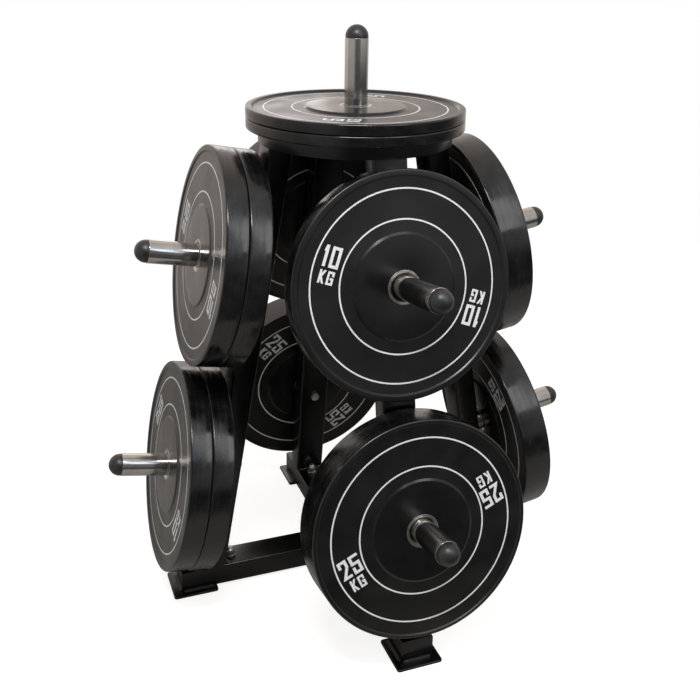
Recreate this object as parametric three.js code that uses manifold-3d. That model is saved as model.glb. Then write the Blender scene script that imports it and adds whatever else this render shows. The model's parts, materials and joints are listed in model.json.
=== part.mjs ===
// Plate tree: a free-standing rack of four leaning legs with nine pegs, loaded with twelve bumper plates.
// Lengths are in millimetres and +Z is up. The origin lies on the floor, under the middle of the rack.
// The front side faces -Y and the right side faces +X.
import * as THREE from 'three';
import { mergeVertices, toCreasedNormals } from 'three/addons/utils/BufferGeometryUtils.js';
import Module from 'manifold-3d';

// Bumper plates: one diameter for every weight, so the rack is laid out round it
const plateRadius = 225;
const fiveKiloThickness = 22;
const tenKiloThickness = 45;
const twentyKiloThickness = 65;
const twentyFiveKiloThickness = 83.5;
const rimRounding = 3.5;
const thinPlateLip = 12;
const thickPlateLip = 7;
const faceRecess = 2.2; // depth of the ring between the hub and the lip
const faceSlope = 2.2; // width of the slopes on both sides of that ring
const hubRadius = 103;
const insertLip = 4; // flat face of the steel insert round its mouth
const mouthTaper = 4.8;

// Room that the plates need
const plateOverBeam = 22; // from a beam up to the lowest plates
const plateBetween = 25; // between the upper and the lower plates of a leg
const plateUnderCap = 14.7; // from the upper plates up to the cap's rim
const plateAside = 10.6; // keeps the upper plates of two neighbouring legs apart

// How far each stack of plates stands out from its leg
const frontUpperStandOff = 0.3;
const frontLowerStandOff = 11;
const leftUpperStandOff = 15;
const leftLowerStandOff = 18;
const rightUpperStandOff = 11.4;
const rightLowerStandOff = 17.5;
const rearUpperStandOff = 7;
const rearLowerStandOff = 11;

// Pegs
const pegRadius = 24;
const pegLength = 205;
const topPegLength = 178;
const pegWall = 4;
const pegPlug = 12; // thickness of the plug in the root of a peg
const boreGap = 1.2; // round a peg, in a plate's bore
const domeInset = 0.8; // by which a dome is narrower than its peg
const domeCollar = 2.5; // straight part under the dome
const spigotLength = 18;

// Rectangular tube, from which the legs and the beams are cut
const tubeWidth = 70;
const tubeDepth = 50;
const tubeWall = 3;
const tubeInnerCorner = 1.5;

// Legs, base beams and foot plates
const leanDegrees = 10; // legs lean in by this much, and pegs rise outwards by as much
const beamToe = 50; // how far a beam runs out past its leg
const endPlate = 3; // welded over the open end of a beam
const footSide = 100;
const footThickness = 6;
const footToe = 20; // how far a foot plate runs out past its beam
const footCorner = 6;

// Top cap, a pan of sheet steel with its rim turned down over the legs
const capRim = 27;
const capSheet = 2;

// Fasteners
const boltRadius = 6;
const hexFlats = 19; // across the flats of a bolt head or a nut
const headHeight = 8;
const nutHeight = 10;
const washerRadius = 12;
const washerThickness = 2.5;
const boltTip = 8.5; // how far a base bolt stands out of its nut
const cupHeadRadius = 13;
const cupHeadFlat = 6.5; // radius of the cup head's flat crown
const cupHeadEdge = 1.5; // height of the cup head's straight rim
const cupHeadLift = 1.5; // keeps the cup heads off the floor
const baseBoltSetback = 18.5; // from a leg's inner face to the base bolt beside it

// Clearances
const seatGap = 0.3; // between faces that rest on or are welded to each other
const holeGap = 0.5; // round a bolt in its hole, and between the cap's rim and the legs
const overrun = 20; // how far a cutting shape runs past what it cuts

// How finely round shapes are divided
const plateSides = 22;
const capSides = 32;
const pegSides = 12;
const boltSides = 8;
const hexSides = 6;
const cornerSteps = 1;
const domeSteps = 3;

// Layout, from the plates inwards
const quarterTurn = Math.PI / 2;
const lean = THREE.MathUtils.degToRad(leanDegrees);
const beamTop = footThickness + seatGap + tubeDepth;
const plateRise = plateRadius * Math.cos(lean);
const lowerPegHeight = beamTop + plateOverBeam + plateRise;
const upperPegHeight = lowerPegHeight + (2 * plateRadius + plateBetween) * Math.cos(lean);
const capRimFoot = upperPegHeight + plateRise + plateUnderCap;
const capTop = capRimFoot + capRim;
const legSpread = plateRadius + plateAside + upperPegHeight * Math.tan(lean); // outer faces, at the floor
const levelDepth = tubeDepth / Math.cos(lean); // depth of a level cut through a leaning leg
const beamReach = legFace(beamTop) + beamToe;
const baseBoltReach = legFace(beamTop) - levelDepth - baseBoltSetback;
const boreRadius = pegRadius + boreGap;
const mouthRadius = boreRadius + mouthTaper;
const insertRadius = mouthRadius + insertLip;
const outerCorner = tubeInnerCorner + tubeWall;

// How far out a leg's outer face is at a height
function legFace(height) {
  return legSpread - height * Math.tan(lean);
}

const sides = [
  { name: 'right', turn: 0 },
  { name: 'rear', turn: quarterTurn },
  { name: 'left', turn: 2 * quarterTurn },
  { name: 'front', turn: 3 * quarterTurn },
];

const five = { thickness: fiveKiloThickness, lip: thinPlateLip };
const ten = { thickness: tenKiloThickness, lip: thinPlateLip };
const twenty = { thickness: twentyKiloThickness, lip: thickPlateLip };
const twentyFive = { thickness: twentyFiveKiloThickness, lip: thickPlateLip };

// What hangs on each side peg, from the leg outwards
const sideStacks = {
  front_upper: { standOff: frontUpperStandOff, plates: [ten] },
  front_lower: { standOff: frontLowerStandOff, plates: [twentyFive] },
  left_upper: { standOff: leftUpperStandOff, plates: [ten, ten] },
  left_lower: { standOff: leftLowerStandOff, plates: [ten, ten] },
  right_upper: { standOff: rightUpperStandOff, plates: [twenty] },
  right_lower: { standOff: rightLowerStandOff, plates: [twenty] },
  rear_upper: { standOff: rearUpperStandOff, plates: [twenty] },
  rear_lower: { standOff: rearLowerStandOff, plates: [twentyFive] },
};
const topStack = { standOff: seatGap, plates: [five, five] };

const finishes = {
  coatedSteel: { color: 0x17181a, roughness: 0.45, metalness: 0.3 },
  chrome: { color: 0xd6d7d9, roughness: 0.08, metalness: 1 },
  zinc: { color: 0xb9bcc0, roughness: 0.3, metalness: 1 },
  turnedSteel: { color: 0xa9abae, roughness: 0.35, metalness: 1 },
  capRubber: { color: 0x2b2c2e, roughness: 0.6, metalness: 0 },
  plateRubber: { color: 0x232324, roughness: 0.7, metalness: 0 },
};

const wasm = await Module();
wasm.setup();

const tree = new THREE.Group();

function addPiece(name, geometry, finish, frame = new THREE.Matrix4()) {
  const mesh = new THREE.Mesh(geometry, new THREE.MeshStandardMaterial(finish));
  mesh.name = name;
  mesh.applyMatrix4(frame);
  tree.add(mesh);
}

// Solids for joining and cutting

function solidOf(geometry) {
  const bare = geometry.clone();
  bare.deleteAttribute('normal');
  bare.deleteAttribute('uv');
  const merged = mergeVertices(bare);
  const vertProperties = new Float32Array(merged.attributes.position.array);
  const triVerts = new Uint32Array(merged.index.array);
  return new wasm.Manifold(new wasm.Mesh({ numProp: 3, vertProperties, triVerts }));
}

function geometryOf(solid) {
  const mesh = solid.getMesh();
  const geometry = new THREE.BufferGeometry();
  geometry.setAttribute('position', new THREE.BufferAttribute(mesh.vertProperties, 3));
  geometry.setIndex(new THREE.BufferAttribute(mesh.triVerts, 1));
  return toCreasedNormals(geometry, lean);
}

// Basic shapes, each along +Z

// A hole's flats touch its true circle, so a round piece that is drawn inside its own circle always clears it.
function holeRadius(radius, steps) {
  return radius / Math.cos(Math.PI / steps);
}

function revolve(profile, steps) {
  const points = profile.map(([radius, height]) => new THREE.Vector2(radius, height));
  return new THREE.LatheGeometry(points, steps).rotateX(quarterTurn);
}

function rod(radius, from, to, steps) {
  const cylinder = new THREE.CylinderGeometry(radius, radius, to - from, steps);
  return cylinder.rotateX(quarterTurn).translate(0, 0, (from + to) / 2);
}

function hexPrism(flats, from, to) {
  return rod(holeRadius(flats / 2, hexSides), from, to, hexSides);
}

function roundedRectangle(path, width, depth, corner) {
  const x = width / 2 - corner;
  const y = depth / 2 - corner;
  path.absarc(x, y, corner, 0, quarterTurn);
  path.absarc(-x, y, corner, quarterTurn, 2 * quarterTurn);
  path.absarc(-x, -y, corner, 2 * quarterTurn, 3 * quarterTurn);
  path.absarc(x, -y, corner, 3 * quarterTurn, 4 * quarterTurn);
  path.closePath();
  return path;
}

function bar(outline, length) {
  return new THREE.ExtrudeGeometry(outline, { depth: length, bevelEnabled: false, curveSegments: cornerSteps });
}

// Frames, each as a matrix

function sideFrame(side) {
  return new THREE.Matrix4().makeRotationZ(side.turn);
}

// Origin where the peg's axis meets the leg, +Z out along the peg, +X on the peg's underside
function pegFrame(side, height) {
  const root = new THREE.Matrix4().makeTranslation(legFace(height), 0, height);
  const rise = new THREE.Matrix4().makeRotationY(quarterTurn - lean);
  return sideFrame(side).multiply(root).multiply(rise);
}

const topPegFrame = new THREE.Matrix4().makeTranslation(0, 0, capTop);

// Base

function beamBar(shrink, from, to) {
  const section = roundedRectangle(
    new THREE.Shape(), tubeDepth - 2 * shrink, tubeWidth - 2 * shrink, outerCorner - shrink);
  const lying = bar(section, to - from).rotateY(quarterTurn);
  return solidOf(lying.translate(from, 0, beamTop - tubeDepth / 2));
}

function baseBoltHole(reach) {
  const radius = holeRadius(boltRadius + holeGap, boltSides);
  return solidOf(rod(radius, -overrun, beamTop + overrun, boltSides).translate(reach, 0, 0));
}

function crossBeam() {
  const inner = beamReach - endPlate;
  const tube = beamBar(0, -beamReach, beamReach).subtract(beamBar(tubeWall, -inner, inner));
  return geometryOf(tube.subtract(baseBoltHole(baseBoltReach)).subtract(baseBoltHole(-baseBoltReach)));
}

function halfBeam() {
  const root = tubeWidth / 2 + seatGap;
  const hollow = beamBar(tubeWall, root - overrun, beamReach - endPlate);
  return geometryOf(beamBar(0, root, beamReach).subtract(hollow).subtract(baseBoltHole(baseBoltReach)));
}

function footPlate() {
  const outline = roundedRectangle(new THREE.Shape(), footSide, footSide, footCorner);
  return bar(outline, footThickness).translate(beamReach + footToe - footSide / 2, 0, 0);
}

function makeBase() {
  addPiece('base_cross_beam', crossBeam(), finishes.coatedSteel);
  for (const side of sides) {
    if (side.name === 'front' || side.name === 'rear') {
      addPiece(`base_beam_${side.name}`, halfBeam(), finishes.coatedSteel, sideFrame(side));
    }
    addPiece(`foot_plate_${side.name}`, footPlate(), finishes.coatedSteel, sideFrame(side));
  }
}

// Legs: the level outline of the tube is extruded straight up and then leant over

function legOutline() {
  const levelWall = tubeWall / Math.cos(lean);
  const outline = roundedRectangle(new THREE.Shape(), levelDepth, tubeWidth, outerCorner);
  const hollow = roundedRectangle(
    new THREE.Path(), levelDepth - 2 * levelWall, tubeWidth - 2 * tubeWall, tubeInnerCorner);
  outline.holes.push(hollow);
  return outline;
}

function pegBoltHole(height) {
  const radius = holeRadius(boltRadius + holeGap, boltSides);
  const hole = rod(radius, -tubeDepth - overrun, overrun, boltSides);
  return solidOf(hole.applyMatrix4(pegFrame(sides[0], height)));
}

function leg() {
  const foot = beamTop + seatGap;
  const top = capTop - capSheet - seatGap;
  const upright = bar(legOutline(), top - foot).translate(-levelDepth / 2, 0, foot);
  const leant = new THREE.Matrix4().makeShear(0, 0, 0, 0, -Math.tan(lean), 0);
  const tube = solidOf(upright.applyMatrix4(leant).translate(legSpread, 0, 0));
  return geometryOf(tube.subtract(pegBoltHole(lowerPegHeight)).subtract(pegBoltHole(upperPegHeight)));
}

// Top cap

// The rim just takes the square corners of the four legs.
function topCap() {
  const hole = holeRadius(boltRadius + holeGap, boltSides);
  const inside = holeRadius(Math.hypot(legFace(capRimFoot), tubeWidth / 2) + holeGap, capSides);
  const outside = inside + capSheet;
  const underDeck = capTop - capSheet;
  return revolve([
    [hole, underDeck],
    [inside, underDeck],
    [inside, capRimFoot],
    [outside, capRimFoot],
    [outside, underDeck],
    [inside, capTop],
    [hole, capTop],
    [hole, underDeck],
  ], capSides);
}

// Pegs

// A sleeve closed by a plug at its root, with the bolt that holds it to the leg or the cap. The bolt's head
// bears on the far side of what it clamps.
function peg(length, grip) {
  const bore = holeRadius(pegRadius - pegWall, pegSides);
  const sleeve = revolve([
    [0, seatGap],
    [pegRadius, seatGap],
    [pegRadius, length],
    [bore, length],
    [bore, seatGap + pegPlug],
    [0, seatGap + pegPlug],
  ], pegSides);
  const headSeat = -grip - seatGap;
  const head = hexPrism(hexFlats, headSeat - headHeight, headSeat);
  const shank = rod(boltRadius, headSeat - headHeight / 2, pegPlug / 2, boltSides);
  return geometryOf(solidOf(sleeve).add(solidOf(shank)).add(solidOf(head)));
}

function domeCap(length) {
  const spigot = pegRadius - pegWall - seatGap;
  const shoulder = length + seatGap;
  const springing = shoulder + domeCollar;
  const domeRadius = pegRadius - domeInset;
  const profile = [
    [0, length - spigotLength],
    [spigot, length - spigotLength],
    [spigot, shoulder],
    [domeRadius, shoulder],
  ];
  for (let step = 0; step < domeSteps; step += 1) {
    const angle = quarterTurn * step / domeSteps;
    profile.push([domeRadius * Math.cos(angle), springing + domeRadius * Math.sin(angle)]);
  }
  profile.push([0, springing + domeRadius]);
  return revolve(profile, pegSides);
}

// Plates

function rubberDisc(kind) {
  const bore = holeRadius(insertRadius + seatGap, plateSides);
  const ring = plateRadius - kind.lip;
  const face = [
    [bore, 0],
    [hubRadius, 0],
    [hubRadius + faceSlope, faceRecess],
    [ring - faceSlope, faceRecess],
    [ring, 0],
    [plateRadius - rimRounding, 0],
    [plateRadius, rimRounding],
  ];
  const front = face.map(([radius, depth]) => [radius, kind.thickness - depth]).reverse();
  return revolve([...face, ...front, face[0]], plateSides);
}

// Turned by half a facet, so a flat of the bore bears on the upper edge of the peg.
function boreInsert(kind) {
  const bore = holeRadius(boreRadius, pegSides);
  const mouth = holeRadius(mouthRadius, pegSides);
  const taper = mouthRadius - boreRadius;
  return revolve([
    [mouth, 0],
    [insertRadius, 0],
    [insertRadius, kind.thickness],
    [mouth, kind.thickness],
    [bore, kind.thickness - taper],
    [bore, taper],
    [mouth, 0],
  ], pegSides).rotateZ(Math.PI / pegSides);
}

// Plates on a rising peg hang from the top of their bores, and plates on the upright peg lie centred.
function addPlates(name, stack, frame, sag) {
  const places = stack.plates.length > 1 ? ['_inner', '_outer'] : [''];
  let height = stack.standOff;
  stack.plates.forEach((kind, index) => {
    const seat = frame.clone().multiply(new THREE.Matrix4().makeTranslation(sag, 0, height));
    addPiece(`plate_${name}${places[index]}`, rubberDisc(kind), finishes.plateRubber, seat);
    addPiece(`bore_${name}${places[index]}`, boreInsert(kind), finishes.turnedSteel, seat);
    height += kind.thickness + seatGap;
  });
}

function addPeg(name, length, grip, stack, frame, sag) {
  addPiece(`peg_${name}`, peg(length, grip), finishes.chrome, frame);
  addPiece(`peg_cap_${name}`, domeCap(length), finishes.capRubber, frame);
  addPlates(name, stack, frame, sag);
}

function makeSides() {
  const sag = boreRadius - pegRadius - seatGap;
  const heights = { upper: upperPegHeight, lower: lowerPegHeight };
  for (const side of sides) {
    addPiece(`leg_${side.name}`, leg(), finishes.coatedSteel, sideFrame(side));
    for (const level of ['upper', 'lower']) {
      const name = `${side.name}_${level}`;
      addPeg(name, pegLength, tubeDepth, sideStacks[name], pegFrame(side, heights[level]), sag);
    }
  }
}

function makeTop() {
  addPiece('top_cap', topCap(), finishes.coatedSteel);
  addPeg('top', topPegLength, capSheet, topStack, topPegFrame, 0);
}

// Base bolt: a cup-head bolt up through the beam, with its washer and nut on top
function baseBolt() {
  const washerSeat = beamTop + seatGap;
  const nutSeat = washerSeat + washerThickness;
  const tip = nutSeat + nutHeight + boltTip;
  const turned = revolve([
    [0, cupHeadLift],
    [cupHeadFlat, cupHeadLift],
    [cupHeadRadius, footThickness - cupHeadEdge],
    [cupHeadRadius, footThickness],
    [boltRadius, footThickness],
    [boltRadius, washerSeat],
    [washerRadius, washerSeat],
    [washerRadius, nutSeat],
    [boltRadius, nutSeat],
    [boltRadius, tip],
    [0, tip],
  ], boltSides);
  return geometryOf(solidOf(turned).add(solidOf(hexPrism(hexFlats, nutSeat, nutSeat + nutHeight))));
}

function makeBaseBolts() {
  for (const side of sides) {
    const place = sideFrame(side).multiply(new THREE.Matrix4().makeTranslation(baseBoltReach, 0, 0));
    addPiece(`base_bolt_${side.name}`, baseBolt(), finishes.zinc, place);
  }
}

makeBase();
makeBaseBolts();
makeSides();
makeTop();

export default tree;
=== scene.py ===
"""Looks of a free-standing plate tree: a powder-coated rack, its chrome pegs and the bumper plates on them.

Every piece takes its place and its main sizes from the packed frame. Lengths are in metres and +Z is up.
"""

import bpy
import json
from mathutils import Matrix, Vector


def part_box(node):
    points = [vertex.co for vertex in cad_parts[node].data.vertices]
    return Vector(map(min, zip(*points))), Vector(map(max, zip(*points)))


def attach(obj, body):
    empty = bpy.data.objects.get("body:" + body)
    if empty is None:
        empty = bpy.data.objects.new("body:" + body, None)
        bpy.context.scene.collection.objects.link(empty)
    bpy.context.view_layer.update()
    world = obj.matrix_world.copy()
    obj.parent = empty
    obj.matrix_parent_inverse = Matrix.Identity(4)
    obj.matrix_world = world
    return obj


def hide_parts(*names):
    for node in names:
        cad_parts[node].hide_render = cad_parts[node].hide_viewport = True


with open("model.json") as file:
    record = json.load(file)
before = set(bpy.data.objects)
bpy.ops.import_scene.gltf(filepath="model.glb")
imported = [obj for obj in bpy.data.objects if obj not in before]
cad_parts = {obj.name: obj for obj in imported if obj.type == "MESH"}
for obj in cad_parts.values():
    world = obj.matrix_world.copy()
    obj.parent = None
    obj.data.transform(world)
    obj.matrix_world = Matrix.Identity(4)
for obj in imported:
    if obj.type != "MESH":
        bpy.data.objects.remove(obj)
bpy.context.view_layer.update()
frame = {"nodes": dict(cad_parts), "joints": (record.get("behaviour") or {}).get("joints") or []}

import json
import math

import bmesh
import bpy
import numpy as np
from bpy.props import FloatProperty, FloatVectorProperty, IntProperty, PointerProperty
from mathutils import Matrix, Vector

bl_info = {
    "name": "Plate tree",
    "version": (1, 0, 0),
    "blender": (4, 5, 0),
    "location": "View3D > Sidebar > Plate tree",
    "description": "Builds the pieces of a plate tree round its frame",
    "category": "Object",
}

MM = 0.001
ROOT = "root"
UP = Vector((0, 0, 1))
AT_ORIGIN = Matrix.Identity(4)
QUARTER_TURN = math.pi / 2

# Points of the frame whose heights differ by less than this are on one level
LEVEL = 0.5 * MM
# Gap that the frame leaves between pieces that touch on the real rack
SEAT_GAP = 0.3 * MM
# Roundings of edges that are only broken, from the sharpest up
KEEN, FINE, PLAIN, SOFT = 0.2 * MM, 0.3 * MM, 0.4 * MM, 0.5 * MM

# A direction with at least this share of +Z counts as upright
UPRIGHT = 0.99

# How far the outward direction of each side of the rack is turned from +X, in degrees
SIDES = {"front": -90, "rear": 90, "left": 180, "right": 0}

# Pegs, with the bodies of the plates that hang on them from the rack outwards
PEGS = {
    "front_upper": ["plate_front_upper"],
    "front_lower": ["plate_front_lower"],
    "rear_upper": ["plate_rear_upper"],
    "rear_lower": ["plate_rear_lower"],
    "left_upper": ["plate_left_upper_inner", "plate_left_upper_outer"],
    "left_lower": ["plate_left_lower_inner", "plate_left_lower_outer"],
    "right_upper": ["plate_right_upper"],
    "right_lower": ["plate_right_lower"],
    "top": ["plate_top_inner", "plate_top_outer"],
}

# Weight on each plate, and how far round from its lowest point the number stands, in degrees
PRINTS = {
    "front_upper": ("10", -110),
    "front_lower": ("25", -67),
    "rear_upper": ("20", 61),
    "rear_lower": ("25", 139.6),
    "left_upper_inner": ("10", -40),
    "left_upper_outer": ("10", -104),
    "left_lower_inner": ("10", 25),
    "left_lower_outer": ("10", -112),
    "right_upper": ("20", 110),
    "right_lower": ("20", -140),
    "top_inner": ("5", 35),
    "top_outer": ("5", -119),
}

# Block figures. Strokes are in shares of the box of their centre lines, and filled areas in shares
# of the figure's box.
FIGURE_SHARES = {
    "0": [("closed", [(0, 0), (1, 0), (1, 1), (0, 1)])],
    "1": [("filled", [(0.23, 0), (0.81, 0), (0.81, 1), (0.23, 1)]),
          ("filled", [(0, 0.69), (0.23, 0.69), (0.23, 1), (0, 0.78)])],
    "2": [("open", [(0, 0.66), (0, 1), (1, 1), (1, 0.62), (0.04, 0), (1.22, 0)])],
    "5": [("open", [(1.29, 1), (0, 1), (0, 0.55), (1, 0.55), (1, 0), (0, 0), (0, 0.34)])],
    "K": [("filled", [(0, 0), (0.33, 0), (0.33, 1), (0, 1)]),
          ("filled", [(0.33, 0.5), (0.5, 0.5), (1, 1), (0.64, 1), (0.33, 0.69)]),
          ("filled", [(0.33, 0.31), (0.64, 0), (1, 0), (0.5, 0.5), (0.33, 0.5)])],
    "G": [("open", [(1, 0.667), (1, 1), (0, 1), (0, 0), (1, 0), (1, 0.446), (0.45, 0.446)])],
}

# Figures that take less than the full width, as shares of it
NARROW_SHARES = {"1": 0.52, "K": 0.94}

# Soft lights: place, what it is aimed at, width, height and colour
LIGHTS = {
    "window": ((1.05, -2.2, 2.4), (0, -0.2, 0.75), 0.9, 1.6, "#ffffff"),
    "front": ((0.1, -2.3, 2.3), (0, -0.2, 0.75), 0.35, 1.0, "#d6e4ff"),
    "rear": ((0.3, 3.2, 1.7), (0, 0, 1), 1.4, 0.8, "#ffffff"),
    "overhead": ((-0.7, -1.7, 3.3), (0, -0.3, 0.8), 1.2, 0.5, "#ffffff"),
}

# The room in reflections: where each part of it starts and ends, along an axis of the ray's direction
ROOM_SPANS = {
    "backdrop": ("Y", -0.1, 0.5),
    "ceiling": ("Z", 0.35, 0.85),
    "left wall": ("X", -0.3, -0.8),
    "lower walls": ("Z", -0.3, 0.08),
    "front right": ("X", 0.05, 0.5),
    "front": ("Z", -0.15, 0.1),
}


# Colours and nodes

def linear(hex_colour):
    """A colour written as sRGB hex, as the linear red, green and blue that shaders take."""
    shares = [int(hex_colour[i:i + 2], 16) / 255 for i in (1, 3, 5)]
    return [s / 12.92 if s <= 0.04045 else ((s + 0.055) / 1.055) ** 2.4 for s in shares]


def add_node(tree, kind, inputs=None, **settings):
    """Adds one node with its settings. An input is a value, or the output socket of another node."""
    node = tree.nodes.new(kind)
    for name, value in settings.items():
        setattr(node, name, value)
    for name, value in (inputs or {}).items():
        if isinstance(value, bpy.types.NodeSocket):
            tree.links.new(value, node.inputs[name])
        else:
            node.inputs[name].default_value = value
    return node


def empty_material(name):
    """A material that holds only its output, with its node tree and the socket for its surface."""
    material = bpy.data.materials.new(name)
    material.use_nodes = True
    material.node_tree.nodes.clear()
    output = add_node(material.node_tree, "ShaderNodeOutputMaterial")
    return material, material.node_tree, output.inputs["Surface"]


def pattern(tree, size, stretch=(1, 1, 1), detail=2.0, roughness=0.5):
    """A noise whose patches are about size across, stretched along the piece's own axes."""
    place = add_node(tree, "ShaderNodeTexCoord").outputs["Object"]
    scaled = add_node(tree, "ShaderNodeMapping", {"Vector": place, "Scale": [1 / s for s in stretch]})
    noise = add_node(tree, "ShaderNodeTexNoise", {
        "Vector": scaled.outputs["Vector"], "Scale": 1 / size, "Detail": detail, "Roughness": roughness})
    return noise.outputs["Fac"]


def spread(tree, value, low, high, start=0.35, end=0.65):
    """Maps a pattern's middle range to the values from low to high."""
    mapped = add_node(tree, "ShaderNodeMapRange", {
        "Value": value, "From Min": start, "From Max": end, "To Min": low, "To Max": high})
    return mapped.outputs["Result"]


def two_colours(tree, value, first, second, start=0.35, end=0.65):
    """Mixes two linear colours by a pattern."""
    share = spread(tree, value, 0, 1, start, end)
    ends = {"Factor": share, "A": (*first, 1), "B": (*second, 1)}
    return add_node(tree, "ShaderNodeMix", ends, data_type="RGBA").outputs["Result"]


def relief(tree, value, depth, under=None):
    """Raises the surface by a pattern, by about depth, over another relief if one is given."""
    inputs = {"Height": value, "Strength": 1.0, "Distance": depth}
    if under is not None:
        inputs["Normal"] = under
    return add_node(tree, "ShaderNodeBump", inputs).outputs["Normal"]


# Materials, each from what the real one is. A function adds the patterns and returns what its shader takes.

def vulcanised_rubber_moulded(tree, colours):
    """Vulcanised rubber, pressed in a blasted steel mould: black ring and lip with a soft gloss."""
    # The cured sheet keeps faint clouds some 60 mm across, where it flowed and bloomed.
    clouds = pattern(tree, 60 * MM, detail=3.0)
    # The blasted mould gives a grain of about 1 mm, which scatters the light a little.
    grain = pattern(tree, 1.1 * MM)
    return {
        "Base Color": two_colours(tree, clouds, linear("#080808"), colours.rubber),
        "Roughness": spread(tree, clouds, 0.28, 0.36),
        "IOR": 1.5,
        "Normal": relief(tree, grain, 0.004 * MM, relief(tree, clouds, 0.12 * MM)),
    }


def vulcanised_rubber_pressed_hub(tree, colours):
    """The same rubber where a ground steel core pressed it: the hub, smooth enough to mirror the peg."""
    # Bores of other plates rub the hub, which leaves patches some 40 mm across with less gloss.
    rubbed = pattern(tree, 40 * MM, detail=3.0)
    clouds = pattern(tree, 60 * MM)
    return {
        "Base Color": two_colours(tree, clouds, linear("#080808"), colours.rubber),
        "Roughness": spread(tree, rubbed, 0.19, 0.26),
        "IOR": 1.5,
        "Normal": relief(tree, clouds, 0.1 * MM),
    }


def vulcanised_rubber_smooth_rim(tree, colours):
    """The same rubber off the mould's smooth ring: glossy rims with faint bands and dull smudges."""
    # The ring's turning marks run round the rim, so the gloss changes across it in bands some 9 mm wide.
    bands = pattern(tree, 9 * MM, stretch=(26, 26, 1), detail=3.0, roughness=0.6)
    # Handling leaves dull smudges some 45 mm across.
    smudges = pattern(tree, 45 * MM, detail=4.0, roughness=0.6)
    uneven = add_node(tree, "ShaderNodeMath", {0: bands, 1: smudges}, operation="ADD").outputs[0]
    return {
        "Base Color": two_colours(tree, smudges, linear("#070707"), colours.rim),
        "Roughness": spread(tree, uneven, 0.11, 0.36, start=0.85, end=1.25),
        "IOR": 1.52,
        "Normal": relief(tree, smudges, 0.25 * MM),
    }


def powder_coated_steel_baked(tree, colours):
    """Polyester powder, baked on steel: semi-gloss black with a slight orange peel."""
    # The melted powder stays uneven over about 2 mm, so highlights break up a little.
    peel = pattern(tree, 2.2 * MM, detail=1.0)
    # The film is a little thicker in places some 90 mm apart, which shifts the gloss.
    film = pattern(tree, 90 * MM)
    return {
        "Base Color": two_colours(tree, film, linear("#060606"), colours.coat),
        "Roughness": spread(tree, film, 0.2, 0.27),
        "IOR": 1.45,
        "Normal": relief(tree, peel, 0.015 * MM),
    }


def chrome_plated_steel_polished(tree, colours):
    """Bright chrome plated on polished steel tube: a mirror, softened where plates slide over it."""
    # Hands and bores leave dull patches some 20 mm long.
    patches = pattern(tree, 20 * MM, detail=3.0)
    return {
        "Base Color": two_colours(tree, patches, linear("#b0ada9"), colours.chrome),
        "Metallic": 1.0,
        "Roughness": spread(tree, patches, 0.12, 0.17),
    }


def mild_steel_turned(tree, colours):
    """Mild steel, turned on a lathe and left bare: pale satin rings, duller and darker in patches."""
    # The tool's feed is too fine to show, so its grooves are drawn coarse, some 5 mm apart. Blender's
    # wave turns by 20 radians along one unit of its scaled coordinate, here by one radian in 0.8 mm.
    place = add_node(tree, "ShaderNodeTexCoord").outputs["Object"]
    grooves = add_node(tree, "ShaderNodeTexWave", {
        "Vector": place, "Scale": 1 / (20 * 0.8 * MM), "Distortion": 0.4, "Detail": 1.0},
        wave_type="RINGS", rings_direction="Z")
    # Bare steel dulls in blots some 12 mm across.
    stains = pattern(tree, 12 * MM, detail=3.0)
    return {
        "Base Color": two_colours(tree, stains, linear("#918d89"), colours.insert),
        "Metallic": 1.0,
        "Roughness": spread(tree, stains, 0.36, 0.26),
        "Normal": relief(tree, grooves.outputs["Fac"], 0.002 * MM),
    }


def zinc_plated_steel_forged(tree, colours):
    """Bright zinc on forged steel: pale metal, a little cloudy."""
    # The passivation is uneven over about 4 mm.
    clouds = pattern(tree, 4 * MM, detail=3.0)
    return {
        "Base Color": two_colours(tree, clouds, linear("#c4c3c0"), colours.zinc),
        "Metallic": 1.0,
        "Roughness": spread(tree, clouds, 0.28, 0.38),
        "Normal": relief(tree, clouds, 0.01 * MM),
    }


def soft_pvc_moulded(tree, colours):
    """Soft PVC, injection moulded: the satin dark domes on the peg ends."""
    # The mould's spark-eroded wall leaves a grain of about 0.8 mm.
    grain = pattern(tree, 0.8 * MM)
    # The plastic cools unevenly as it flows, over some 18 mm, which clouds its tone and gloss.
    flow = pattern(tree, 18 * MM, detail=3.0)
    return {
        "Base Color": two_colours(tree, flow, linear("#161717"), colours.dome),
        "Roughness": spread(tree, flow, 0.37, 0.43),
        "IOR": 1.56,
        "Normal": relief(tree, grain, 0.01 * MM),
    }


def screen_ink_printed(tree, colours):
    """Screen-printed ink, cured on rubber: off-white, thin and slightly uneven."""
    # The ink covers the rubber unevenly over about 3 mm, and its 1 mm grain shows through.
    cover = pattern(tree, 3 * MM, detail=3.0)
    grain = pattern(tree, 1.1 * MM)
    return {
        "Base Color": two_colours(tree, cover, linear("#d9d9d8"), colours.ink),
        "Roughness": 0.5,
        "IOR": 1.5,
        "Normal": relief(tree, grain, 0.01 * MM),
    }


# Finishes, with the material of each and the record's slot of a piece that has it as its first one
FINISHES = {
    "rubber": (vulcanised_rubber_moulded, "plate_rubber"),
    "hub": (vulcanised_rubber_pressed_hub, None),
    "rim": (vulcanised_rubber_smooth_rim, None),
    "coat": (powder_coated_steel_baked, "coated_steel"),
    "chrome": (chrome_plated_steel_polished, "chrome"),
    "insert": (mild_steel_turned, "insert_steel"),
    "zinc": (zinc_plated_steel_forged, "zinc"),
    "dome": (soft_pvc_moulded, "cap_rubber"),
    "ink": (screen_ink_printed, None),
}
made_materials = {}


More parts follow.
